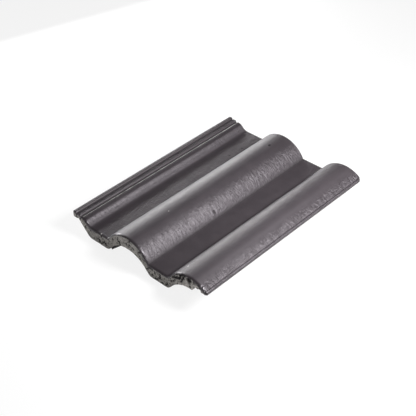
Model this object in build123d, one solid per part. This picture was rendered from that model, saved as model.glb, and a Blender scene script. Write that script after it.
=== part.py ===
from build123d import *
import os
from math import cos, radians, sin, sqrt, tan

# Interlocking double-roll roof tile, extruded in concrete as one piece.
# X runs across the tile, Y from the nose up the slope to the tail, and Z up.
# The origin lies on the floor under the middle of the tile. Lengths are in millimetres.

# Overall sizes
tile_length = 420.0
tile_width = 330.0
side_lap_width = 30.0    # what the next tile's covering edge hides of the left side
body_thickness = 12.0
stand_depth = 14.0       # nose foot and hanging nibs below the body, so that the tile lies level

# Rolls and pans
roll_height = 31.0       # crest above the pan
roll_span = 102.0        # width of a roll at the level of the pan
roll_rise_radius = 8.0   # hollow on a roll's left, where it rises from the pan
roll_fall_radius = 4.5   # hollow on the middle roll's right, where it falls to the pan

# Covering edge on the right, which sits over the next tile's side lap
edge_rise = 17.5         # top of the edge above the pan
edge_thickness = 5.4
edge_round = 1.2
edge_gap = 0.4           # above the next tile's shoulder
cover_gap = 3.0          # above the next tile's ribs and grooves

# Side lap on the left
rib_count = 2
rib_pitch = 11.6
rib_crest_width = 5.0
rib_flank_run = 1.2
rib_depth = 4.0
rib_step = 2.1           # each crest stands this much lower than the one outside it
rib_round = 1.0
lip_thickness = 7.0      # below the outer groove
shoulder_width = 6.3     # from the last groove to where the lines of shoulder and slope cross
shoulder_round = 12.0    # between the shoulder and the slope
flank_angle = 45.0       # slope from the shoulder down to the pan, in degrees
flank_radius = 12.0      # hollow where the slope meets the pan

# Nose
nose_round = 3.5
foot_width = 24.0        # along the length of the tile
foot_corner_radius = 2.5 # where the foot's arches spring from its flat underside
foot_side = 6.0          # foot beyond the flank's hollow on the left
foot_end_gap = 3.0       # between the foot and the next tile's side lap
bar_width = 9.0          # weather bar behind the foot, along the length
bar_depth = 5.0          # below the body
bar_gap = 38.0           # between the foot and the weather bar

# Tail
nib_width = 36.0
nib_root = 18.0          # along the length of the tile, at the body
nib_tip = 13.0           # along the length of the tile, at the floor
nib_setback = 4.0        # from the tail to the nib's root
nib_round = 2.0
nail_diameter = 5.0
nail_from_tail = 44.0

# Levels and places that follow from the sizes
left_edge = -tile_width / 2
right_edge = tile_width / 2
nose_y = -tile_length / 2
tail_y = tile_length / 2
cover_width = tile_width - side_lap_width
pan_top = stand_depth + body_thickness
roll_crest = pan_top + roll_height
roll_half = roll_span / 2
roll_radius = (roll_half**2 + roll_height**2) / (2 * roll_height)
roll_centre_z = roll_crest - roll_radius
edge_top = pan_top + edge_rise
right_roll_x = right_edge - sqrt(roll_radius**2 - (edge_top - roll_centre_z) ** 2)
middle_roll_x = right_roll_x - cover_width / 2
# The side lap's levels follow from the edge that covers it, one cover width to the left
edge_under = edge_top - edge_thickness
shoulder_top = edge_under - edge_gap
rib_top = shoulder_top + rib_count * rib_step
lip_under = rib_top - rib_depth - lip_thickness
shoulder_x = left_edge + rib_count * rib_pitch
# The flank slopes from the rounded shoulder to a hollow, which touches the pan below its own centre
slope = radians(flank_angle)
flank_start_x = shoulder_x + shoulder_width
flank_centre_z = pan_top + flank_radius
flank_drop = shoulder_top - (flank_centre_z - flank_radius * cos(slope))
flank_centre_x = flank_start_x + flank_drop / tan(slope) + flank_radius * sin(slope)
left_pan_x = (flank_centre_x + middle_roll_x - roll_half) / 2
right_pan_x = (middle_roll_x + right_roll_x) / 2
foot_end_x = left_edge + cover_width - foot_end_gap
nib_face_y = tail_y - nib_setback - nib_root


def arc_about(centre, radius, start, end):
    """An arc about a centre between two points that lie on its circle."""
    middle = ((start - centre).normalized() + (end - centre).normalized()).normalized()
    return ThreePointArc(start, centre + middle * radius, end)


def reach(arch_radius, hollow_radius, hollow_height):
    """How far from a roll's crest its hollow lies, whose centre is at a height above that of the arch."""
    return sqrt((arch_radius + hollow_radius) ** 2 - hollow_height**2)


def roll_side(crest_x, side, depth, drop, foot_radius):
    """Hollow and arch on one side of a roll: parallel to the upper face at a depth, then lowered by a drop."""
    arch_radius = roll_radius - depth
    hollow_radius = foot_radius + depth
    hollow_height = pan_top + foot_radius - roll_centre_z
    hollow_x = crest_x + side * reach(arch_radius, hollow_radius, hollow_height)
    arch_centre = Vector(crest_x, roll_centre_z - drop)
    hollow_centre = Vector(hollow_x, arch_centre.Y + hollow_height)
    foot = hollow_centre - Vector(0, hollow_radius)
    crest = arch_centre + Vector(0, arch_radius)
    join = arch_centre + (hollow_centre - arch_centre).normalized() * arch_radius
    hollow = arc_about(hollow_centre, hollow_radius, foot, join)
    arch = arc_about(arch_centre, arch_radius, join, crest)
    return [hollow, arch], foot, crest


def wave(start_x, depth, drop=0, rise_radius=roll_rise_radius, fall_radius=roll_fall_radius):
    """Line of the pans and rolls from a place on the left pan to the crest of the covering roll."""
    start = Vector(start_x, pan_top - depth - drop)
    left_rise, left_foot, _ = roll_side(middle_roll_x, -1, depth, drop, rise_radius)
    fall, fall_foot, _ = roll_side(middle_roll_x, 1, depth, drop, fall_radius)
    right_rise, right_foot, crest = roll_side(right_roll_x, -1, depth, drop, rise_radius)
    pans = [Line(start, left_foot), Line(fall_foot, right_foot)]
    return [pans[0], *left_rise, *fall, pans[1], *right_rise], crest


def flank(depth, level):
    """Slope and hollow of the flank, parallel to its upper face at a depth, from a level down to the pan."""
    centre = Vector(flank_centre_x, flank_centre_z)
    radius = flank_radius + depth
    foot = centre - Vector(0, radius)
    join = centre - Vector(sin(slope), cos(slope)) * radius
    start = Vector(join.X - (level - join.Y) / tan(slope), level)
    return [Line(start, join), arc_about(centre, radius, join, foot)], start


def upper_line():
    """Upper face of the section, from the flank to the covering edge."""
    slope_edges, _ = flank(0, shoulder_top)
    wave_edges, crest = wave(flank_centre_x, 0)
    roll_centre = Vector(right_roll_x, roll_centre_z)
    cover = arc_about(roll_centre, roll_radius, crest, Vector(right_edge, edge_top))
    return [*slope_edges, *wave_edges, cover]


def lap_points():
    """Ribs and grooves of the side lap, from the outer edge to the last groove."""
    points = []
    for rib in range(rib_count):
        start_x = left_edge + rib * rib_pitch
        crest = rib_top - rib * rib_step
        groove_x = start_x + rib_crest_width + rib_flank_run
        points += [
            Vector(start_x, crest),
            Vector(start_x + rib_crest_width, crest),
            Vector(groove_x, crest - rib_depth),
            Vector(start_x + rib_pitch - rib_flank_run, crest - rib_depth),
        ]
    return points


def cover_points(lap):
    """Underside of the covering edge: it follows the next tile's ribs at a gap, and ends in a thick rim."""
    over_lap = [point + Vector(cover_width, cover_gap) for point in lap[1:-2]]
    rim_x = lap[-2].X + cover_width
    return [*over_lap, Vector(rim_x, edge_under), Vector(right_edge, edge_under)]


def body_section():
    """Section that runs the whole length of the tile."""
    lap = lap_points()
    cover = cover_points(lap)
    upper = upper_line()
    lower_wave, lower_crest = wave(flank_centre_x, body_thickness)
    lower_flank, lip_end = flank(body_thickness, lip_under)
    edges = [
        Polyline(*lap, Vector(shoulder_x, shoulder_top), Vector(flank_start_x, shoulder_top)),
        *upper,
        Polyline(Vector(right_edge, edge_top), *reversed(cover), lower_crest),
        *lower_wave,
        *lower_flank,
        Polyline(lip_end, Vector(left_edge, lip_under), lap[0]),
    ]
    section = make_face(edges)
    section = fillet(corners(section, lap), rib_round)
    return fillet(corners(section, cover[-2:]), edge_round)


def corners(section, points):
    """Corners of a section that lie at the given points."""
    return [section.vertices().sort_by_distance(point)[0] for point in points]


def stand_section(depth, drop, rise_radius, fall_radius):
    """Section of what stands below the body near the nose, from inside the body down to its own lower line."""
    inside = body_thickness / 2
    inside_level = lip_under + lip_thickness / 2
    upper_wave, upper_crest = wave(flank_centre_x, inside)
    upper_flank, upper_start = flank(inside, inside_level)
    lower_start = Vector(flank_centre_x - foot_side, pan_top - depth - drop)
    lower_wave, lower_crest = wave(lower_start.X, depth, drop, rise_radius, fall_radius)
    side_x = flank(body_thickness, lip_under)[1].X - foot_side
    left_side = [lower_start, Vector(side_x, lip_under), Vector(side_x, inside_level), upper_start]
    right_side = [upper_crest, Vector(foot_end_x, upper_crest.Y), Vector(foot_end_x, lower_crest.Y), lower_crest]
    edges = [*upper_flank, *upper_wave, Polyline(*right_side), *lower_wave, Polyline(*left_side)]
    return make_face(edges)


def along(section, start_y, length):
    """Runs a section up the slope from a place on the length of the tile."""
    return Pos(0, start_y + length, 0) * extrude(Plane.XZ * section, length)


def nose_foot():
    """Foot along the nose. Its lower line is the upper face lowered, so it fits over the tile below."""
    section = stand_section(0, pan_top, foot_corner_radius, foot_corner_radius)
    return along(section, nose_y, foot_width)


def weather_bar():
    """Bar under the body behind the foot."""
    section = stand_section(body_thickness + bar_depth, 0, roll_rise_radius, roll_fall_radius)
    return along(section, nose_y + foot_width + bar_gap, bar_width)


def nib(centre_x):
    """Hanging nib under a pan: upright where it hooks on the batten, sloped towards the tail."""
    root_y = nib_face_y + nib_root
    root_top = stand_depth + body_thickness / 2
    outline = Polyline(
        (nib_face_y, 0),
        (nib_face_y + nib_tip, 0),
        (root_y, stand_depth),
        (root_y, root_top),
        (nib_face_y, root_top),
        close=True,
    )
    block = extrude(Plane.YZ * make_face(outline), nib_width / 2, both=True)
    front_corners = block.faces().sort_by(Axis.Y)[0].edges().filter_by(Axis.Z)
    return Pos(centre_x, 0, 0) * fillet(front_corners, nib_round)


def nail_hole():
    """Hole for the nail, through the middle roll near the tail."""
    place = Pos(middle_roll_x, tail_y - nail_from_tail, roll_crest - body_thickness / 2)
    return place * Cylinder(nail_diameter / 2, 2 * body_thickness)


def shoulder_corner():
    """What the rounding between the shoulder and the slope takes off, along the whole tile."""
    corner = Vector(flank_start_x, shoulder_top)
    cut = shoulder_round * tan(slope / 2)
    start = corner - Vector(cut, 0)
    end = corner + Vector(cos(slope), -sin(slope)) * cut
    rounding = arc_about(start - Vector(0, shoulder_round), shoulder_round, end, start)
    return along(make_face([Polyline(start, corner, end), rounding]), nose_y, tile_length)


def nose_edges(tile):
    """Edges between the nose and the upper face, from the flank to the covering edge."""
    nose = tile.faces().sort_by(Axis.Y)[0].edges()
    middles = [edge @ 0.5 for edge in upper_line()]
    found = [nose.sort_by_distance(Vector(point.X, nose_y, point.Y))[0] for point in middles]
    return list(dict.fromkeys(found))


def roof_tile():
    """The whole tile, with the upper edge of its nose rounded."""
    tile = along(body_section(), nose_y, tile_length)
    tile += [nose_foot(), weather_bar(), nib(left_pan_x), nib(right_pan_x)]
    tile = fillet(nose_edges(tile), nose_round)
    return tile - [shoulder_corner(), nail_hole()]


os.makedirs("parts", exist_ok=True)
export_step(roof_tile(), "parts/roof_tile.step")
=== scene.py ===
from math import atan2, ceil, cos, pi, radians, sin, sqrt, tan
from types import SimpleNamespace

import bmesh
import bpy
import numpy as np
from mathutils import Matrix, Vector, noise


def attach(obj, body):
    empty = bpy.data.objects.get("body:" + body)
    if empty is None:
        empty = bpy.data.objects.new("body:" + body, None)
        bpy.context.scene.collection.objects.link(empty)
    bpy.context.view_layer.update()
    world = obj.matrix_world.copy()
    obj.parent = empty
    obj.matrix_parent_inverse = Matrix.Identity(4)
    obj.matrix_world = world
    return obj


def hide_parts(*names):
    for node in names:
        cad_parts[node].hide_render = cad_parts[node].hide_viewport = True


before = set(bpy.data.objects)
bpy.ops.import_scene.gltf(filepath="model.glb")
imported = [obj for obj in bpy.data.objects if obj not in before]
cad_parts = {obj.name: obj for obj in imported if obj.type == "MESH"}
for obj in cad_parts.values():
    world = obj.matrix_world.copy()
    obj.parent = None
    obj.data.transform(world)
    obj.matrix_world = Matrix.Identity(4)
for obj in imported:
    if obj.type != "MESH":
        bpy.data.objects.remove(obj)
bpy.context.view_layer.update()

# Sizes of the tile in millimetres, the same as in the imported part
mm = 0.001               # in metres
tile_length = 420.0
tile_width = 330.0
cover_width = 300.0
body_thickness = 12.0
stand_depth = 14.0
roll_height = 31.0
roll_span = 102.0
roll_rise_radius = 8.0
roll_fall_radius = 4.5
edge_rise = 17.5
edge_thickness = 5.4
edge_gap = 0.4
cover_gap = 3.0
rib_count = 2
rib_pitch = 11.6
rib_crest_width = 5.0
rib_flank_run = 1.2
rib_depth = 4.0
rib_step = 2.1
lip_thickness = 7.0
shoulder_width = 6.3
slope = radians(45.0)
flank_radius = 12.0
foot_width = 24.0
foot_corner_radius = 6.0
foot_side = 6.0
foot_end_gap = 3.0
bar_width = 9.0
bar_depth = 5.0
bar_gap = 38.0
nib_width = 36.0
nib_root = 18.0
nib_tip = 13.0
nib_setback = 4.0
nail_diameter = 5.0
nail_from_tail = 44.0

# Roundings of the visible edges
nose_round = 3.5
lap_nose_round = 1.3
foot_round = 2.2
tail_round = 1.0
low_edge_round = 1.2     # lower corners of both long sides
foot_soften = 5.0        # how far the corners of the foot's lower line are softened

# Bead along the covering edge, with a fine groove between it and the roll
bead_width = 2.6
bead_round = 1.2
groove_width = 1.5
groove_depth = 0.35
groove_round = 0.3

# Side lap as it shows: broad ribs with narrow grooves, a crowned shoulder and a flank of its own
seen_rib_pitch = 10.4
seen_rib_width = 7.7
seen_rib_run = 0.8
rib_rounds = (1.2, 2.2, 0.4, 0.4)   # left and right of the crest, then left and right of the groove
crown_run = 2.6
crown_drop = 1.05
crown_round = 1.5
seen_shoulder_round = 16.0
seen_slope = radians(48.0)
seen_flank_radius = 19.2
flank_shift = 1.6

# Hollow at the right foot of the middle roll as it shows
seen_fall_radius = 0.8

# Corners of the tile as seen from above
corner_rounds = {(-1, -1): 1.0, (1, -1): 4.5, (-1, 1): 2.0, (1, 1): 6.0}

# Thick haunch under the left side of the middle roll, set back behind the nose
haunch_setback = 5.0
haunch_start = (-66.2, 4.3)         # place across and level of a point on its lower line
haunch_rise = 0.895                 # of that line per millimetre across
haunch_end_x = -36.0

# Lip of the side lap, a little thicker at its nose corner, with where that starts and is full
lip_drop = 3.0
lip_end_x = (-150.0, -157.0)
lip_end_run = (14.0, 5.0)           # from the nose
lip_end_rise = 6.0

# How far down the nose the coat of colour runs: everywhere, then more at places (more, centre, width)
coat_depth = 2.6
coat_runs = [(4.0, -121.0, 10.0), (3.4, 29.0, 9.0), (-1.0, -30.0, 26.0), (-0.8, 108.0, 18.0)]
corner_coat_depth = 3.0
corner_coat_x = (132.0, 150.0)
coat_fade = 1.0
coat_wander = [(9.0, 11.3, 0.9), (3.5, 4.7, 0.5)]   # layers of noise: size, shift and strength

# Where the concrete is bare; a pair holds where a ramp starts and where it is full
nose_bare_run = (6.0, 3.0)          # from the nose
under_bare_run = 1.0                # from the nose, on what faces down
side_bare_depth = (6.0, 8.0)        # below the upper face
tail_bare_depth = (1.0, 2.5)
coat_facing = (-0.25, 0.1)          # upward part of the way out
nose_facing = (0.55, 0.9)           # part of the way out that points away from the tail
tail_facing = (0.6, 0.9)            # part of the way out that points away from the nose
nose_turned = -0.5                  # what points to the nose more than this has the nose's own line
nose_face_run = 2.0                 # from the nose
least_face = 0.02                   # what points to the nose less than this has no pits
least_up = 0.3                      # steepest face that depths are corrected for

# Pores and larger cavities in the nose; a radius or depth is its least and what the size of a pit adds
relief_seed = 41
pit_count = 210
pit_margins = (18.0, 14.0)          # from the left and the right edge
pit_shares = (0.06, 0.9)            # of the way down the nose
pit_sizes = (0.0, 1.0)
pit_radius = (1.0, 1.9)
pit_depth = (0.9, 1.8)
cavity_count = 26
cavity_x = (84.0, 133.0)
cavity_shares = (0.1, 0.55)
cavity_sizes = (0.2, 1.0)
cavity_radius = (1.4, 2.0)
cavity_depth = (1.8, 2.6)
# Painted shade in the nose's pits: where it starts and is full across each bowl
pit_shade = (0.05, 0.4)
nose_grain = [(6.5, 2.1, 0.45), (2.6, 7.9, 0.4)]    # layers of noise
grain_proud = 0.1

# Crumbled lower edge of the nose
crumble_reach = 3.5
crumble_noise = [(8.0, 5.5, 0.5), (3.0, 9.1, 0.5)]  # layers of noise
crumble_most = 0.6
crumble_back_share = 0.6

# Waves in the coat: long ones everywhere and short ripples on the flanks
flank_tilt = (14.0, 34.0)           # degrees from level
steep_tilt = (80.0, 70.0)
left_flank_x = (-110.0, -118.0)
left_flank_calm = 0.25
flank_limit_x = -140.0
long_wave = (60.0, 3.3, 0.15)       # noise: size, shift and strength
ripple_size = (30.0, 4.6, 30.0)
ripple_lift = 0.28
ripple_calm_share = 0.12

# Streaks in the coat's gloss
pan_streak = 0.5
pan_streak_left = (-104.0, -90.0)
pan_streak_right = (-72.0, -78.0)
streak_base = 0.8
tail_streak_gain = 0.5
tail_streak_y = (-150.0, 100.0)
right_streak_gain = 0.9
right_streak_x = (96.0, 112.0)
rim_run = (5.5, 3.5)                # glossier edge of the coat, from the nose

# Place across and along the tile, radius and depth of single pits in the coat
coat_pits = [
    (22.1, -37.4, 3.2, 1.2),
    (-85.9, 122.2, 2.4, 1.0),
    (-83.6, 157.1, 2.2, 1.0),
]
# Painted shade in the coat's pits: where it starts and is full across each bowl
coat_pit_shade = (0.1, 0.5)

# Place across and along the tile and radius of pale chips in the coat
coat_chips = [
    (-92.7, -207.5, 1.6),
    (-74.7, -207.5, 1.6),
    (-86.0, -199.0, 1.2),
    (-21.3, -109.1, 1.1),
    (98.5, -187.5, 1.3),
    (101.5, -186.0, 1.3),
]
chip_strength = 0.7

# Painted highlight: a pale line along the left edge of the shoulder
highlight_line_strength = 0.42
highlight_line_change = (14.0, 8.2, 0.10)   # noise: size, shift and strength
highlight_line_width = 1.5
highlight_line_run = 2.0

# Painted shade: strength and width of each dark line, and where it lies on the haunch
groove_shade = (0.95, 1.1)
rib_shade = (0.6, 0.7)
foot_shade = (0.9, 1.3)
foot_shade_run = 3.0
hole_shade_rim = 0.3
haunch_shade_lead = 1.0
haunch_shade_run = (9.0, 1.0)       # behind the haunch's front
haunch_shade_left = (-78.0, -70.0)
haunch_shade_right = (4.0, -2.0)    # from the haunch's right end
haunch_shade_depth = (12.0, 16.0)

# Colours and gloss of the coat
coat_colours = ((0.017, 0.0136, 0.0158, 1), (0.021, 0.0170, 0.0195, 1))
speck_colour = (0.10, 0.095, 0.096, 1)
speck_strength = 0.5
# painted shade on the coat: colour and strength of the darkening
coat_shade_colour = (0.008, 0.007, 0.007, 1)
coat_shade_strength = 0.8
# colour of the chips, also used for the painted highlight along the shoulder
chip_and_highlight_colour = (0.55, 0.54, 0.52, 1)
coat_roughness = (0.48, 0.60)
rim_roughness = 0.36
# gloss where shade is painted
painted_shade_roughness = 0.9
coat_ior = 1.55
gloss_tint = (1.0, 0.94, 1.0, 1)
wrinkle_scale = (65.0, 180.0, 65.0)  # per metre across, along and up
streak_bump = 1.9
plain_bump = 0.14
fine_bump = 0.07

# Colours and gloss of the bare concrete
stone_colours = ((0.155, 0.147, 0.137, 1), (0.37, 0.352, 0.328, 1))
patch_colour = (0.17, 0.161, 0.150, 1)
patch_strength = 0.55
# painted shade in the concrete's pores
pore_shade_colour = (0.02, 0.019, 0.018, 1)
pore_shade_strength = 0.85
# painted shade on the bare concrete
stone_shade_colour = (0.008, 0.0075, 0.007, 1)
stone_roughness = 0.92
stone_bump = 0.8
pore_bump = 0.7
bare_edge_noise = 0.5
bump_depth = 0.001                  # in metres

# Studio, in metres and watts
floor_reach = 6.0
floor_colour = (0.9, 0.9, 0.9, 1)
floor_glow = 0.85                   # share of pure white in what the camera sees of the floor
horizon_colour = (1.0, 1.0, 1.0, 1)
overhead_colour = (0.12, 0.12, 0.12, 1)
horizon_rise = (0.02, 0.25)
# Name, place, width and height, and power of each lamp
lamps = [
    ("left_strip", (-0.80, 0.22, 0.183), (1.1, 0.145), 10.4),
    ("right_box", (0.46, 0.14, 0.50), (0.32, 0.32), 14.8),
    ("nose_fill", (-0.3, -1.5, 0.35), (1.2, 0.5), 1.7),
]

# Levels and places that follow from the sizes
left_edge = -tile_width / 2
right_edge = tile_width / 2
nose_y = -tile_length / 2
tail_y = tile_length / 2
pan_top = stand_depth + body_thickness
roll_crest = pan_top + roll_height
roll_radius = ((roll_span / 2) ** 2 + roll_height**2) / (2 * roll_height)
roll_centre_z = roll_crest - roll_radius
edge_top = pan_top + edge_rise
right_roll_x = right_edge - sqrt(roll_radius**2 - (edge_top - roll_centre_z) ** 2)
middle_roll_x = right_roll_x - cover_width / 2
edge_under = edge_top - edge_thickness
shoulder_top = edge_under - edge_gap
rib_top = shoulder_top + rib_count * rib_step
lip_under = rib_top - rib_depth - lip_thickness
shoulder_x = left_edge + rib_count * rib_pitch
flank_start_x = shoulder_x + shoulder_width
flank_centre_z = pan_top + flank_radius
flank_drop = shoulder_top - (flank_centre_z - flank_radius * cos(slope))
flank_centre_x = flank_start_x + flank_drop / tan(slope) + flank_radius * sin(slope)
left_pan_x = (flank_centre_x + middle_roll_x - roll_span / 2) / 2
right_pan_x = (middle_roll_x + right_roll_x) / 2
foot_end_x = left_edge + cover_width - foot_end_gap
foot_back_y = nose_y + foot_width
bar_front_y = foot_back_y + bar_gap
nib_back_y = tail_y - nib_setback
nib_face_y = nib_back_y - nib_root
nail_y = tail_y - nail_from_tail

# Grid of the visible mesh
column_step = 1.5
row_step = 2.5
under_row_step = 9.0
wall_rows = 16
step_run = 0.3           # run of an upright step on the underside
round_steps = 4
column_gap = step_run / 4  # columns nearer than this count as one
merge_share = 0.01       # points nearer than this share of a step count as one
soften_samples = 9
nail_sides = 28
drill_length = 30.0      # longer than the roll is thick
sharp_angle = radians(50.0)


def arc(centre_x, centre_z, radius, start, end):
    """Points on an arc; angles are measured from straight up, positive to the right."""
    count = max(ceil(abs(end - start) * radius / column_step), round_steps)
    turn = np.linspace(start, end, count + 1)
    return np.column_stack([centre_x + radius * np.sin(turn), centre_z + radius * np.cos(turn)])


def rounded(points, radii):
    """A line of points with its inner corners rounded, by one radius or by a radius for each."""
    points = [np.array(point, float) for point in points]
    line = [points[0]]
    radii = np.broadcast_to(radii, len(points) - 2)
    for before, corner, after, radius in zip(points, points[1:], points[2:], radii):
        back = (before - corner) / np.linalg.norm(before - corner)
        ahead = (after - corner) / np.linalg.norm(after - corner)
        half = np.arccos(np.clip(back @ ahead, -1, 1)) / 2
        cut = radius / tan(half)
        middle = corner + (back + ahead) / np.linalg.norm(back + ahead) * radius / sin(half)
        first = corner + back * cut - middle
        last = corner + ahead * cut - middle
        for share in np.linspace(0, 1, round_steps + 1):
            spoke = first * (1 - share) + last * share
            line.append(middle + spoke / np.linalg.norm(spoke) * radius)
    line.append(points[-1])
    return line


def lap_points(pitch, crest_width, run):
    """Ribs and grooves of the side lap."""
    points = []
    for rib in range(rib_count):
        start_x = left_edge + rib * pitch
        crest = rib_top - rib * rib_step
        points += [
            (start_x, crest),
            (start_x + crest_width, crest),
            (start_x + crest_width + run, crest - rib_depth),
            (start_x + pitch - run, crest - rib_depth),
        ]
    return points


def roll_reach(foot_radius):
    """How far from a crest the hollow of its foot lies, and the angle at which the arch meets it."""
    rise = pan_top + foot_radius - roll_centre_z
    run = sqrt((roll_radius + foot_radius) ** 2 - rise**2)
    return run, atan2(run, rise)


def upper_points():
    """Upper line of the section from the outer rib to the covering edge."""
    rise_run, rise_join = roll_reach(roll_rise_radius)
    fall_run, fall_join = roll_reach(seen_fall_radius)
    crown_x = left_edge + rib_count * seen_rib_pitch
    corner_x = flank_start_x + flank_shift
    shoulder_end_x = corner_x - seen_shoulder_round * tan(seen_slope / 2)
    shoulder = arc(shoulder_end_x, shoulder_top - seen_shoulder_round, seen_shoulder_round, 0, seen_slope)
    foot_x = corner_x + (shoulder_top - pan_top) / tan(seen_slope) + seen_flank_radius * tan(seen_slope / 2)
    lap = [(left_edge, lip_under), *lap_points(seen_rib_pitch, seen_rib_width, seen_rib_run)]
    lap += [(crown_x, shoulder_top - crown_drop), (crown_x + crown_run, shoulder_top)]
    line = rounded([*lap, shoulder[0]], [*rib_rounds * rib_count, rib_rounds[-1], crown_round])[1:-1]
    line += list(shoulder)
    line += list(arc(foot_x, pan_top + seen_flank_radius, seen_flank_radius, seen_slope - pi, -pi))
    rise_z = pan_top + roll_rise_radius
    fall_z = pan_top + seen_fall_radius
    line += list(arc(middle_roll_x - rise_run, rise_z, roll_rise_radius, pi, pi - rise_join))
    line += list(arc(middle_roll_x, roll_centre_z, roll_radius, -rise_join, fall_join))
    line += list(arc(middle_roll_x + fall_run, fall_z, seen_fall_radius, fall_join - pi, -pi))
    line += list(arc(right_roll_x - rise_run, rise_z, roll_rise_radius, pi, pi - rise_join))
    groove_x = right_edge - bead_width - groove_width
    marks = [(groove_x - groove_width, 0), (groove_x, 0), (groove_x + groove_width / 2, groove_depth)]
    marks += [(right_edge - bead_width, 0), (right_edge, 0)]
    edge = [np.array([x, roll_level(x) - drop]) for x, drop in marks]
    cover_angle = atan2(edge[0][0] - right_roll_x, edge[0][1] - roll_centre_z)
    line += list(arc(right_roll_x, roll_centre_z, roll_radius, -rise_join, cover_angle))
    line += rounded(edge[:-1], groove_round)[1:-1]
    line += rounded([edge[-2], edge[-1], (right_edge, edge_under)], bead_round)[:-1]
    return np.array(line)


def roll_level(x):
    """Level of the covering roll's upper face."""
    return roll_centre_z + sqrt(roll_radius**2 - (x - right_roll_x) ** 2)


def divided(points, step):
    """A line of points with no two further apart than a step, and none on top of another."""
    line = [points[0]]
    for point in points[1:]:
        length = np.linalg.norm(point - line[-1])
        if length < step * merge_share:
            continue
        parts = ceil(length / step)
        start = line[-1]
        line += [start + (point - start) * part / parts for part in range(1, parts + 1)]
    return np.array(line)


def with_columns(points, places):
    """A line of points with further points at given places across the tile."""
    line = list(points)
    for place in places:
        if min(abs(point[0] - place) for point in line) < column_gap:
            continue
        index = next(i for i, point in enumerate(line) if point[0] > place)
        before, after = line[index - 1], line[index]
        share = (place - before[0]) / (after[0] - before[0])
        line.insert(index, before + (after - before) * share)
    return np.array(line)


def wave(x, depth, drop, rise_radius, fall_radius):
    """Level of the pans and rolls at a depth below the upper face, then lowered by a drop."""
    level = np.full_like(x, pan_top - depth)
    for crest_x in (middle_roll_x, right_roll_x):
        for side, foot_radius in ((-1, rise_radius), (1, fall_radius)):
            run, join = roll_reach(foot_radius)
            off = side * (x - crest_x)
            arch = roll_centre_z + np.sqrt(np.clip((roll_radius - depth) ** 2 - off**2, 0, None))
            hollow_height = np.sqrt(np.clip((foot_radius + depth) ** 2 - (run - off) ** 2, 0, None))
            level = np.where((off >= 0) & (off < run), pan_top + foot_radius - hollow_height, level)
            level = np.where((off >= 0) & (off < (roll_radius - depth) * sin(join)), arch, level)
    return level - drop


def cover_points():
    """Underside of the covering edge, from the crest of its roll outwards."""
    lap = lap_points(rib_pitch, rib_crest_width, rib_flank_run)
    over_lap = [(x + cover_width, z + cover_gap) for x, z in lap[1:-2]]
    rim_x = lap[-2][0] + cover_width
    crest = (right_roll_x, roll_crest - body_thickness)
    return np.array([crest, *over_lap, (rim_x, edge_under), (right_edge, edge_under)])


def body_under(x):
    """Level of the body's underside."""
    radius = flank_radius + body_thickness
    join_x = flank_centre_x - radius * sin(slope)
    join_z = flank_centre_z - radius * cos(slope)
    level = wave(x, body_thickness, 0, roll_rise_radius, roll_fall_radius)
    arc_z = flank_centre_z - np.sqrt(np.clip(radius**2 - (x - flank_centre_x) ** 2, 0, None))
    level = np.where(x < flank_centre_x, arc_z, level)
    level = np.where(x < join_x, join_z + (join_x - x) * tan(slope), level)
    cover = cover_points()
    level = np.where(x > right_roll_x, np.interp(x, cover[:, 0], cover[:, 1]), level)
    return np.where(x < join_x, np.minimum(level, lip_under), level)


def stand_under(x, depth, drop, rise_radius, fall_radius):
    """Level of what stands below the body near the nose."""
    level = wave(x, depth, drop, rise_radius, fall_radius)
    crest = roll_crest - depth - drop
    level = np.where(x > right_roll_x, crest, level)
    radius = flank_radius + body_thickness
    join_x = flank_centre_x - radius * sin(slope)
    join_z = flank_centre_z - radius * cos(slope)
    side_x = join_x - (lip_under - join_z) / tan(slope) - foot_side
    low_x = flank_centre_x - foot_side
    low_z = pan_top - depth - drop
    side = lip_under + (low_z - lip_under) * (x - side_x) / (low_x - side_x)
    level = np.where(x < low_x, side, level)
    return np.where(x > foot_end_x, roll_crest, level)


def under_level(x, y):
    """Level of the whole underside."""
    level = body_under(x)
    foot = np.minimum(level, soft_foot(x))
    chord = np.maximum(haunch_start[1] + haunch_rise * (x - haunch_start[0]), 0)
    haunch_left = haunch_start[0] - haunch_start[1] / haunch_rise
    haunch = (x > haunch_left) & (x < haunch_end_x) & (y > nose_y + haunch_setback)
    foot = np.where(haunch, np.minimum(foot, chord), foot)
    bar = stand_under(x, body_thickness + bar_depth, 0, roll_rise_radius, roll_fall_radius)
    bar = np.minimum(level, bar)
    level = np.where(y < foot_back_y, foot, level)
    level = np.where((y > bar_front_y) & (y < bar_front_y + bar_width), bar, level)
    rise = np.clip((y - nib_face_y - nib_tip) / (nib_root - nib_tip), 0, 1) * stand_depth
    for centre_x in (left_pan_x, right_pan_x):
        inside = (np.abs(x - centre_x) < nib_width / 2) & (y > nib_face_y)
        level = np.where(inside, np.minimum(level, rise), level)
    side = np.maximum(np.abs(x) - right_edge + low_edge_round, 0)
    return level + low_edge_round - np.sqrt(np.clip(low_edge_round**2 - side**2, 0, None))


def soft_foot(x):
    """Lower line of the nose foot with its corners softened."""
    total = np.zeros_like(x)
    inside = np.where(x < foot_end_x, foot_end_x - column_gap, right_edge)
    shifts = np.linspace(-foot_soften, foot_soften, soften_samples)
    for shift in shifts:
        near = np.minimum(x + shift, inside)
        total += stand_under(near, 0, pan_top, foot_corner_radius, foot_corner_radius)
    return total / len(shifts)


def section_columns():
    """Points of the upper line that carry the columns of the mesh, and the way up from each."""
    steps = [foot_end_x]
    for centre_x in (left_pan_x, right_pan_x):
        steps += [centre_x - nib_width / 2, centre_x + nib_width / 2]
    places = [place + side * step_run / 2 for place in steps for side in (-1, 1)]
    places += list(cover_points()[1:-1, 0])
    points = with_columns(divided(upper_points(), column_step), places)
    along = np.gradient(points, axis=0)
    along /= np.linalg.norm(along, axis=1)[:, None]
    return points, np.column_stack([-along[:, 1], along[:, 0]])


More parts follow.
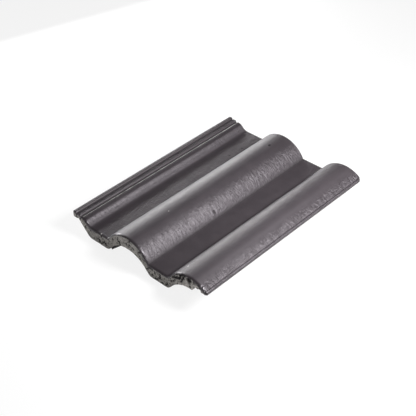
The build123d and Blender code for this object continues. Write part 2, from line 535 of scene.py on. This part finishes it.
def row_places():
    """Places of the rows along the tile between its rounded ends, and which of them the underside has."""
    steps = [nose_y + haunch_setback, foot_back_y, bar_front_y, bar_front_y + bar_width, nib_face_y]
    marks = [nose_y + nose_round, tail_y - tail_round, nib_face_y + nib_tip, nib_back_y]
    marks += [place + side * step_run / 2 for place in steps for side in (-1, 1)]
    marks = sorted(marks)
    rows, kept = [marks[0]], [True]
    for start, end in zip(marks, marks[1:]):
        parts = ceil((end - start) / row_step)
        every = max(round(under_row_step / row_step), 1)
        rows += [start + (end - start) * part / parts for part in range(1, parts + 1)]
        kept += [part == parts or part % every == 0 for part in range(1, parts + 1)]
    return np.array(rows), kept


def upper_rows():
    """Rows of the upper face, the place of each, which of them the underside has, and the section."""
    points, up = section_columns()
    rows, kept = row_places()
    nose_turn = np.linspace(pi / 2, 0, round_steps + 1)[:-1]
    tail_turn = np.linspace(0, pi / 2, round_steps)[1:]
    inner = np.clip((points[:, 0] - shoulder_x) / shoulder_width, 0, 1)
    radius = lap_nose_round + (nose_round - lap_nose_round) * inner
    top = []
    for turn in nose_turn:
        place = points - up * (radius * (1 - cos(turn)))[:, None]
        top.append((place[:, 0], nose_y + radius * (1 - sin(turn)), place[:, 1]))
    for y in rows:
        top.append((points[:, 0], np.full(len(points), y), points[:, 1]))
    for turn in tail_turn:
        place = points - up * tail_round * (1 - cos(turn))
        top.append((place[:, 0], np.full(len(points), tail_y - tail_round * (1 - sin(turn))), place[:, 1]))
    top = np.array([np.column_stack(row) for row in top])
    level_y = [nose_y + nose_round * (1 - sin(turn)) for turn in nose_turn] + list(rows)
    level_y += [tail_y - tail_round * (1 - sin(turn)) for turn in tail_turn]
    kept = [True] * len(nose_turn) + kept + [False] * (len(tail_turn) - 1) + [True]
    return top, level_y, kept, points


def bottom_rows(level_y, points):
    """The underside's points under every row of the upper face."""
    bottom = []
    for y in level_y:
        z = under_level(points[:, 0], np.full(len(points), y))
        nose_gap = min(y - nose_y, foot_round)
        z = z + foot_round - sqrt(foot_round**2 - (foot_round - nose_gap) ** 2)
        bottom.append(np.column_stack([points[:, 0], np.full(len(points), y), z]))
    return np.array(bottom)


def tile_mesh():
    """The closed mesh of the tile without its nail hole, in millimetres."""
    top, level_y, kept, points = upper_rows()
    bottom = bottom_rows(level_y, points)
    row_count, column_count = top.shape[:2]
    vertices = []
    faces = []

    def added(places):
        """Adds points and gives their numbers in the same layout."""
        flat = places.reshape(-1, 3)
        first = len(vertices)
        vertices.extend(map(tuple, flat))
        return np.arange(first, first + len(flat)).reshape(places.shape[:-1])

    def panel(grid):
        """Adds the four-sided faces of a grid of point numbers."""
        quads = np.stack([grid[:-1, :-1], grid[:-1, 1:], grid[1:, 1:], grid[1:, :-1]], axis=-1)
        faces.extend(map(tuple, quads.reshape(-1, 4).tolist()))

    share = (np.arange(1, wall_rows) / wall_rows)[:, None, None]
    top_id = added(top)
    panel(top_id)
    walls = {}
    for column in (0, column_count - 1):
        between = top[None, :, column] * (1 - share) + bottom[None, :, column] * share
        low_id = added(bottom[:, column])
        walls[column] = np.vstack([top_id[None, :, column], added(between), low_id[None]])
        panel(walls[column])
    kept_rows = [row for row in range(row_count) if kept[row]]
    under_id = {}
    for row in kept_rows:
        middle = added(bottom[row, 1:-1])
        under_id[row] = np.concatenate([[walls[0][-1, row]], middle, [walls[column_count - 1][-1, row]]])
    for row in (0, row_count - 1):
        between = top[None, row, 1:-1] * (1 - share) + bottom[None, row, 1:-1] * share
        middle = added(between)
        left = walls[0][1:-1, row][:, None]
        right = walls[column_count - 1][1:-1, row][:, None]
        cap = np.vstack([top_id[None, row], np.hstack([left, middle, right]), under_id[row][None]])
        panel(cap)
    for row, after in zip(kept_rows, kept_rows[1:]):
        near, far = under_id[row], under_id[after]
        panel(np.array([near[1:-1], far[1:-1]]))
        left = walls[0][-1, row:after + 1].tolist()
        right = walls[column_count - 1][-1, row:after + 1].tolist()
        faces.append(tuple(left + [int(far[1]), int(near[1])]))
        faces.append(tuple(right + [int(far[-2]), int(near[-2])]))
    return round_plan(np.array(vertices)), faces


def round_plan(vertices):
    """Rounds the four corners of the tile as seen from above."""
    for (side, end), radius in corner_rounds.items():
        inward_x = side * vertices[:, 0] - (tile_width / 2 - radius)
        inward_y = end * vertices[:, 1] - (tile_length / 2 - radius)
        corner = (inward_x > 0) & (inward_y > 0)
        across, along = inward_x[corner], inward_y[corner]
        share = np.maximum(across, along) / np.hypot(across, along)
        vertices[corner, 0] = side * (tile_width / 2 - radius + across * share)
        vertices[corner, 1] = end * (tile_length / 2 - radius + along * share)
    return vertices


def new_object(name, vertices, faces):
    """A mesh object from points in millimetres, with its faces turned outwards."""
    mesh = bpy.data.meshes.new(name)
    mesh.from_pydata((vertices * mm).tolist(), [], faces)
    shaped = bmesh.new()
    shaped.from_mesh(mesh)
    bmesh.ops.recalc_face_normals(shaped, faces=shaped.faces)
    shaped.to_mesh(mesh)
    shaped.free()
    made = bpy.data.objects.new(name, mesh)
    bpy.context.collection.objects.link(made)
    return made


def drill(target):
    """Drills the nail hole through the middle roll."""
    radius = nail_diameter / 2 * mm
    centre = Vector((middle_roll_x, nail_y, roll_crest - body_thickness / 2)) * mm
    shaped = bmesh.new()
    bmesh.ops.create_cone(
        shaped, cap_ends=True, segments=nail_sides, radius1=radius, radius2=radius,
        depth=drill_length * mm, matrix=Matrix.Translation(centre),
    )
    mesh = bpy.data.meshes.new("nail_drill")
    shaped.to_mesh(mesh)
    shaped.free()
    tool = bpy.data.objects.new("nail_drill", mesh)
    bpy.context.collection.objects.link(tool)
    cut = target.modifiers.new("nail_hole", "BOOLEAN")
    cut.operation = "DIFFERENCE"
    cut.solver = "MANIFOLD"
    cut.object = tool
    bpy.context.view_layer.update()
    cut_mesh = bpy.data.meshes.new_from_object(target.evaluated_get(bpy.context.evaluated_depsgraph_get()))
    target.modifiers.clear()
    target.data = cut_mesh
    bpy.data.objects.remove(tool)


def smooth(value, start, end):
    """0 before start, 1 after end and a soft ramp between them."""
    share = np.clip((value - start) / (end - start), 0, 1)
    return share * share * (3 - 2 * share)


def bell(value, centre, width):
    """1 at a centre, falling softly to 0 about two widths away."""
    return np.exp(-(((value - centre) / width) ** 2))


def noise_at(points, size, shift):
    """Smooth noise between about -1 and 1, with lumps of a size in millimetres."""
    return np.array([noise.noise(Vector(point)) for point in points / size + shift])


def layers_at(points, layers):
    """Sum of layers of noise, each with a size, a shift and a strength."""
    return sum(noise_at(points, size, shift) * strength for size, shift, strength in layers)


def grown(least_and_growth, size):
    """A measure at a size between 0 and 1, from its least and what the size adds."""
    least, growth = least_and_growth
    return least + growth * size


def after_nose(y, run):
    """A ramp along the tile; run holds where it starts and where it is full, measured from the nose."""
    return smooth(y, nose_y + run[0], nose_y + run[1])


def coat_reach(x):
    """How far down the nose the coat of colour runs, in millimetres below the upper face."""
    reach = coat_depth + corner_coat_depth * smooth(x, *corner_coat_x)
    for more, centre, width in coat_runs:
        reach = reach + more * bell(x, centre, width)
    return reach


def nose_pits():
    """Open pores in the nose: place across the tile, share of the way down, radius and depth."""
    draw = np.random.default_rng(relief_seed)
    pits = []
    for _ in range(pit_count):
        x = draw.uniform(left_edge + pit_margins[0], right_edge - pit_margins[1])
        share = draw.uniform(*pit_shares)
        size = draw.uniform(*pit_sizes) ** 2
        pits.append((x, share, grown(pit_radius, size), grown(pit_depth, size)))
    for _ in range(cavity_count):
        x = draw.uniform(*cavity_x)
        share = draw.uniform(*cavity_shares)
        size = draw.uniform(*cavity_sizes)
        pits.append((x, share, grown(cavity_radius, size), grown(cavity_depth, size)))
    return pits


def skin_of(mesh):
    """What the relief needs to know of a mesh's points, in millimetres, with room for what it finds."""
    count = len(mesh.vertices)
    places = np.empty(count * 3)
    mesh.vertices.foreach_get("co", places)
    ways_out = np.empty(count * 3)
    mesh.vertices.foreach_get("normal", ways_out)
    points = places.reshape(-1, 3) / mm
    normals = ways_out.reshape(-1, 3)
    x, y, z = points.T.copy()
    section, up = section_columns()
    order = np.argsort(section[:, 0], kind="stable")
    line_x, line_z = section[order].T
    upright = np.interp(x, line_x, np.clip(up[order, 1], least_up, 1))
    return SimpleNamespace(
        points=points,
        normals=normals,
        x=x,
        y=y,
        z=z,
        line_x=line_x,
        line_z=line_z,
        depth=np.maximum(np.interp(x, line_x, line_z) - z, 0) * upright,
        upper=normals[:, 2] > 0,
        moved=points.copy(),
        # painted shade, then chips with a painted highlight
        painted_shade=np.zeros(count),
        chip_and_highlight=np.zeros(count),
    )


def lay_coat(skin):
    """Finds where the concrete is bare: below an uneven line on the nose, on the tail and underneath."""
    wander = layers_at(skin.points, coat_wander)
    reach = coat_reach(skin.x)
    nose_bare = smooth(skin.depth + wander, reach, reach + coat_fade)
    skin.nose_bare = nose_bare * after_nose(skin.y, nose_bare_run)
    facing_up = smooth(skin.normals[:, 2], *coat_facing)
    under_bare = (1 - facing_up) * (skin.y > nose_y + under_bare_run)
    side_bare = smooth(skin.depth, *side_bare_depth) * (skin.normals[:, 1] >= nose_turned)
    tail_bare = smooth(skin.normals[:, 1], *tail_facing) * smooth(skin.depth + wander, *tail_bare_depth)
    skin.bare = np.maximum.reduce([skin.nose_bare, under_bare, side_bare, tail_bare])
    skin.coated = (1 - skin.bare) * facing_up


def roughen_nose(skin):
    """Sinks pores and cavities into the nose, paints shade in them and makes its face uneven."""
    face = smooth(-skin.normals[:, 1], *nose_facing) * (skin.y < nose_y + nose_face_run)
    on_face = face > least_face
    push = np.zeros(len(skin.x))
    for place, share, radius, sunk in nose_pits():
        top = np.interp(place, skin.line_x, skin.line_z)
        low = float(under_level(np.array([place]), np.array([nose_y]))[0])
        away = np.hypot(skin.x - place, skin.z - (top + (low - top) * share)) / radius
        bowl = np.clip(1 - away**2, 0, 1) * on_face
        push = np.maximum(push, bowl * sunk)
        # painted shade in each pit
        skin.painted_shade = np.maximum(skin.painted_shade, smooth(bowl, *pit_shade))
    push = push * skin.nose_bare + layers_at(skin.points, nose_grain) * face * skin.nose_bare
    skin.moved[:, 1] += np.maximum(push, -grain_proud)


def crumble_nose(skin):
    """Crumbles the lower edge of the nose, never below the floor, and thickens the end of the lip."""
    under_z = under_level(skin.x, np.full(len(skin.x), nose_y))
    low_edge = smooth(crumble_reach - (skin.z - under_z), 0, crumble_reach)
    low_edge = low_edge * (skin.y < nose_y + crumble_reach)
    crumble = low_edge * np.clip(layers_at(skin.points, crumble_noise), 0, crumble_most)
    skin.moved[:, 2] += crumble
    skin.moved[:, 1] += crumble * crumble_back_share
    lip_end = smooth(skin.x, *lip_end_x) * after_nose(skin.y, lip_end_run)
    skin.moved[:, 2] -= lip_drop * lip_end * (1 - smooth(skin.z, lip_under, lip_under + lip_end_rise))


def wave_coat(skin):
    """Waves the coated face and marks its streaks: long and shallow everywhere, shorter on the flanks."""
    tilt = np.degrees(np.arctan2(skin.normals[:, 0], skin.normals[:, 2]))
    flank = smooth(tilt, *flank_tilt) * smooth(tilt, *steep_tilt) * (skin.x > flank_limit_x)
    flank = flank * (1 - left_flank_calm * smooth(skin.x, *left_flank_x))
    ripple = noise_at(skin.points / np.array(ripple_size), 1, 0)
    lift = layers_at(skin.points, [long_wave]) + ripple_lift * ripple * (ripple_calm_share + flank)
    skin.moved += skin.normals * (skin.coated * lift)[:, None]
    pan = pan_streak * smooth(skin.x, *pan_streak_left) * smooth(skin.x, *pan_streak_right)
    gain = streak_base + tail_streak_gain * smooth(skin.y, *tail_streak_y)
    gain = gain * (1 + right_streak_gain * smooth(skin.x, *right_streak_x))
    skin.streak = np.maximum(flank, pan) * skin.coated * gain
    skin.rim = skin.coated * after_nose(skin.y, rim_run)


def wear_coat_and_paint_light(skin):
    """Sinks the single pits of the coat with painted shade in them, and marks its chips and a painted
    highlight along the shoulder's left edge.
    """
    for place_x, place_y, radius, sunk in coat_pits:
        away = np.hypot(skin.x - place_x, skin.y - place_y) / radius
        bowl = np.clip(1 - away**2, 0, 1) * skin.coated
        skin.moved[:, 2] -= bowl * sunk
        # painted shade in each pit of the coat
        skin.painted_shade = np.maximum(skin.painted_shade, smooth(bowl, *coat_pit_shade))
    for place_x, place_y, radius in coat_chips:
        chip_and_highlight = chip_strength * bell(np.hypot(skin.x - place_x, skin.y - place_y), 0, radius)
        skin.chip_and_highlight = np.maximum(skin.chip_and_highlight, chip_and_highlight * skin.upper)
    # painted highlight: a pale line along the shoulder's left edge
    edge_x = left_edge + rib_count * seen_rib_pitch + crown_run
    painted_highlight = highlight_line_strength + layers_at(skin.points, [highlight_line_change])
    painted_highlight = painted_highlight * bell(skin.x, edge_x, highlight_line_width) * (skin.y > nose_y + highlight_line_run)
    skin.chip_and_highlight = np.maximum(skin.chip_and_highlight, painted_highlight * skin.upper)


def paint_shade(skin):
    """Marks painted shade in the side lap's grooves and along its rib crests, along the middle roll's foot,
    in the nail hole and on the haunch.
    """
    lines = []
    # painted shade in the lap's grooves and along the middle of each rib's crest
    for rib in range(rib_count):
        groove_x = left_edge + rib * seen_rib_pitch + (seen_rib_width + seen_rib_pitch) / 2
        lines += [(groove_x, *groove_shade), (groove_x - seen_rib_pitch / 2, *rib_shade)]
    for place, strength, width in lines:
        skin.painted_shade = np.maximum(skin.painted_shade, strength * bell(skin.x, place, width) * skin.upper)
    # painted shade in the crease at the middle roll's right foot
    strength, width = foot_shade
    foot = strength * bell(skin.x, middle_roll_x + roll_span / 2, width) * (skin.y > nose_y + foot_shade_run)
    skin.painted_shade = np.maximum(skin.painted_shade, foot * skin.upper)
    # painted shade inside the nail hole and on its rim
    hole = np.hypot(skin.x - middle_roll_x, skin.y - nail_y) < nail_diameter / 2 + hole_shade_rim
    skin.painted_shade = np.maximum(skin.painted_shade, hole.astype(float))
    # painted shade on the front of the haunch, under the arch
    front_run = [haunch_setback + run for run in haunch_shade_run]
    right_end = [haunch_end_x + run for run in haunch_shade_right]
    haunch = (skin.y > nose_y + haunch_setback - haunch_shade_lead) * after_nose(skin.y, front_run)
    haunch = haunch * smooth(skin.x, *haunch_shade_left) * smooth(skin.x, *right_end)
    skin.painted_shade = np.maximum(skin.painted_shade, haunch * smooth(skin.depth, *haunch_shade_depth))


def relief(mesh):
    """Works the rough nose, the flaws of the coat and the wear into the mesh, and marks what is where,
    painted shade and a painted highlight included.
    """
    skin = skin_of(mesh)
    lay_coat(skin)
    roughen_nose(skin)
    crumble_nose(skin)
    wave_coat(skin)
    wear_coat_and_paint_light(skin)
    paint_shade(skin)
    mesh.vertices.foreach_set("co", (skin.moved * mm).ravel())
    # these marks include painted shade and, with the chips, a painted highlight
    for name in ("bare", "painted_shade", "streak", "rim", "chip_and_highlight"):
        layer = mesh.attributes.new(name, "FLOAT", "POINT")
        layer.data.foreach_set("value", getattr(skin, name).astype(np.float32))
    mesh.update()


class Graph:
    """Short calls for building a node tree."""

    def __init__(self, tree):
        self.nodes = tree.nodes
        self.links = tree.links

    def node(self, kind, **inputs):
        """A new node with its inputs set or linked."""
        made = self.nodes.new("ShaderNode" + kind)
        for name, value in inputs.items():
            self.feed(made.inputs[name.replace("_", " ")], value)
        return made

    def feed(self, socket, value):
        """Links a value to a socket, or sets the socket to it."""
        if isinstance(value, bpy.types.NodeSocket):
            self.links.new(value, socket)
        else:
            socket.default_value = value

    def math(self, operation, first, second):
        """A sum, product or the like of two numbers."""
        made = self.nodes.new("ShaderNodeMath")
        made.operation = operation
        self.feed(made.inputs[0], first)
        self.feed(made.inputs[1], second)
        return made.outputs[0]

    def times(self, value, factor):
        """A number times a factor."""
        return self.math("MULTIPLY", value, factor)

    def ramp(self, value, start, end):
        """A soft ramp from 0 to 1."""
        made = self.nodes.new("ShaderNodeMapRange")
        made.interpolation_type = "SMOOTHSTEP"
        self.feed(made.inputs["Value"], value)
        made.inputs["From Min"].default_value = start
        made.inputs["From Max"].default_value = end
        return made.outputs["Result"]

    def colours(self, share, first, second):
        """Mix of two colours."""
        made = self.nodes.new("ShaderNodeMix")
        made.data_type = "RGBA"
        self.feed(made.inputs["Factor"], share)
        self.feed(made.inputs["A"], first)
        self.feed(made.inputs["B"], second)
        return made.outputs["Result"]

    def numbers(self, share, first, second):
        """Mix of two numbers."""
        made = self.nodes.new("ShaderNodeMix")
        self.feed(made.inputs["Factor"], share)
        self.feed(made.inputs["A"], first)
        self.feed(made.inputs["B"], second)
        return made.outputs["Result"]

    def noise(self, place, scale, detail=3.0, roughness=0.55, distortion=0.0):
        """Cloudy noise between 0 and 1."""
        made = self.node(
            "TexNoise", Vector=place, Scale=scale, Detail=detail, Roughness=roughness, Distortion=distortion
        )
        return made.outputs["Fac"]

    def mark(self, name):
        """A value that the mesh carries."""
        made = self.nodes.new("ShaderNodeAttribute")
        made.attribute_name = name
        return made.outputs["Fac"]


def tile_material():
    """Satin coat of colour over bare, pitted concrete, with painted shade in its hollows and a painted
    highlight line.
    """
    look = bpy.data.materials.new("coated_concrete_look")
    look.use_nodes = True
    graph = Graph(look.node_tree)
    shader = graph.nodes["Principled BSDF"]
    object_place = graph.node("TexCoord").outputs["Object"]
    scaled = graph.node("Mapping", Vector=object_place, Scale=(1 / mm, 1 / mm, 1 / mm)).outputs[0]
    across = graph.node("Mapping", Vector=object_place, Scale=wrinkle_scale).outputs[0]
    # painted shade: darkens pits, grooves, the roll's foot, the nail hole and the haunch
    painted_shade = graph.mark("painted_shade")
    edge_noise = graph.times(graph.noise(scaled, scale=0.5), bare_edge_noise)
    bare = graph.ramp(graph.math("ADD", graph.mark("bare"), edge_noise), start=0.6, end=0.85)

    blotch = graph.ramp(graph.noise(scaled, scale=0.035, detail=4.0), start=0.35, end=0.68)
    coat = graph.colours(blotch, *coat_colours)
    speck = graph.ramp(graph.noise(scaled, scale=0.9, detail=2.0), start=0.70, end=0.78)
    coat = graph.colours(graph.times(speck, speck_strength), coat, speck_colour)
    # painted shade on the coat
    coat = graph.colours(graph.times(painted_shade, coat_shade_strength), coat, coat_shade_colour)
    # chips, and a painted highlight along the shoulder
    coat = graph.colours(graph.ramp(graph.mark("chip_and_highlight"), start=0.2, end=0.6), coat, chip_and_highlight_colour)

    sand = graph.node("TexVoronoi", Vector=scaled, Scale=0.75)
    sand_tone = graph.node("SeparateColor", Color=sand.outputs["Color"]).outputs[0]
    stone = graph.colours(sand_tone, *stone_colours)
    patch = graph.ramp(graph.noise(scaled, scale=0.12, detail=4.0), start=0.35, end=0.7)
    stone = graph.colours(graph.times(patch, patch_strength), stone, patch_colour)
    # painted shade in the pores
    pore = graph.ramp(graph.noise(scaled, scale=0.55, detail=2.0), start=0.36, end=0.30)
    stone = graph.colours(graph.times(pore, pore_shade_strength), stone, pore_shade_colour)
    # painted shade on the bare concrete
    stone = graph.colours(painted_shade, stone, stone_shade_colour)
    graph.feed(shader.inputs["Base Color"], graph.colours(bare, coat, stone))

    shader.inputs["IOR"].default_value = coat_ior
    shader.inputs["Specular Tint"].default_value = gloss_tint
    roughness = graph.numbers(graph.noise(scaled, scale=0.11, detail=4.0), *coat_roughness)
    roughness = graph.numbers(graph.mark("rim"), roughness, rim_roughness)
    # places with painted shade are matte
    roughness = graph.numbers(painted_shade, roughness, painted_shade_roughness)
    graph.feed(shader.inputs["Roughness"], graph.numbers(bare, roughness, stone_roughness))

    wrinkle = graph.noise(across, scale=0.9, roughness=0.6, distortion=1.6)
    strength = graph.math("ADD", graph.times(graph.mark("streak"), streak_bump), plain_bump)
    fine = graph.times(graph.noise(scaled, scale=0.8), fine_bump)
    coat_height = graph.math("ADD", graph.math("MULTIPLY", wrinkle, strength), fine)
    stone_height = graph.times(graph.noise(scaled, scale=0.9, detail=4.0, roughness=0.7), stone_bump)
    stone_height = graph.math("SUBTRACT", stone_height, graph.times(pore, pore_bump))
    height = graph.numbers(bare, coat_height, stone_height)
    bump = graph.node("Bump", Height=height, Distance=bump_depth)
    graph.feed(shader.inputs["Normal"], bump.outputs["Normal"])
    return look


def add_stage():
    """A white floor that keeps a soft shadow."""
    mesh = bpy.data.meshes.new("floor")
    corners = [(-1, -1, 0), (1, -1, 0), (1, 1, 0), (-1, 1, 0)]
    mesh.from_pydata([Vector(corner) * floor_reach for corner in corners], [], [(0, 1, 2, 3)])
    floor = bpy.data.objects.new("floor", mesh)
    bpy.context.collection.objects.link(floor)
    look = bpy.data.materials.new("white_floor")
    look.use_nodes = True
    graph = Graph(look.node_tree)
    graph.nodes.clear()
    path = graph.node("LightPath")
    seen = graph.math("MAXIMUM", path.outputs["Is Camera Ray"], path.outputs["Is Glossy Ray"])
    seen = graph.math("MAXIMUM", seen, path.outputs["Is Transmission Ray"])
    lit = graph.node("BsdfDiffuse", Color=floor_colour)
    glow = graph.node("Emission", Strength=1.0)
    mix = graph.nodes.new("ShaderNodeMixShader")
    graph.feed(mix.inputs[0], graph.times(seen, floor_glow))
    graph.feed(mix.inputs[1], lit.outputs[0])
    graph.feed(mix.inputs[2], glow.outputs[0])
    graph.node("OutputMaterial", Surface=mix.outputs[0])
    mesh.materials.append(look)


def add_world():
    """Studio surroundings: white near the floor, dimmer overhead."""
    world = bpy.data.worlds.new("studio")
    bpy.context.scene.world = world
    world.use_nodes = True
    graph = Graph(world.node_tree)
    direction = graph.node("TexCoord").outputs["Generated"]
    height = graph.node("SeparateXYZ", Vector=direction).outputs["Z"]
    colour = graph.colours(graph.ramp(height, *horizon_rise), horizon_colour, overhead_colour)
    graph.feed(graph.nodes["Background"].inputs["Color"], colour)


def add_lamp(name, place, size, power):
    """A soft lamp that looks at the tile; size is its width and height, in metres."""
    light = bpy.data.lights.new(name, "AREA")
    light.shape = "RECTANGLE"
    light.size, light.size_y = size
    light.energy = power
    lamp = bpy.data.objects.new(name, light)
    lamp.location = place
    lamp.visible_camera = False
    lamp.rotation_euler = (-Vector(place)).to_track_quat("-Z", "Y").to_euler()
    bpy.context.collection.objects.link(lamp)


def add_camera():
    """The camera at the photograph's viewpoint."""
    image_width = 416.0
    sensor_width = 36.0
    focal_pixels = 943.04
    azimuth = radians(44.094)
    elevation = radians(37.976)
    roll = radians(-1.391)
    place = Vector((0.9409, -1.0019, 1.0847))
    forward = Vector((-sin(azimuth) * cos(elevation), cos(azimuth) * cos(elevation), -sin(elevation)))
    level_right = Vector((cos(azimuth), sin(azimuth), 0))
    level_up = level_right.cross(forward)
    right = level_right * cos(roll) + level_up * sin(roll)
    up = right.cross(forward)
    data = bpy.data.cameras.new("camera")
    data.sensor_width = sensor_width
    data.lens = sensor_width * focal_pixels / image_width
    camera = bpy.data.objects.new("camera", data)
    turn = Matrix((right, up, -forward)).transposed()
    camera.matrix_world = Matrix.Translation(place) @ turn.to_4x4()
    bpy.context.collection.objects.link(camera)
    bpy.context.scene.camera = camera


tile = new_object("roof_tile_visual", *tile_mesh())
drill(tile)
relief(tile.data)
for polygon in tile.data.polygons:
    polygon.use_smooth = True
tile.data.set_sharp_from_angle(angle=sharp_angle)
tile.data.materials.clear()
tile.data.materials.append(tile_material())

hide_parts("roof_tile")
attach(tile, "root")

add_stage()
add_world()
for lamp_values in lamps:
    add_lamp(*lamp_values)
add_camera()
bpy.context.scene.view_settings.view_transform = "Standard"
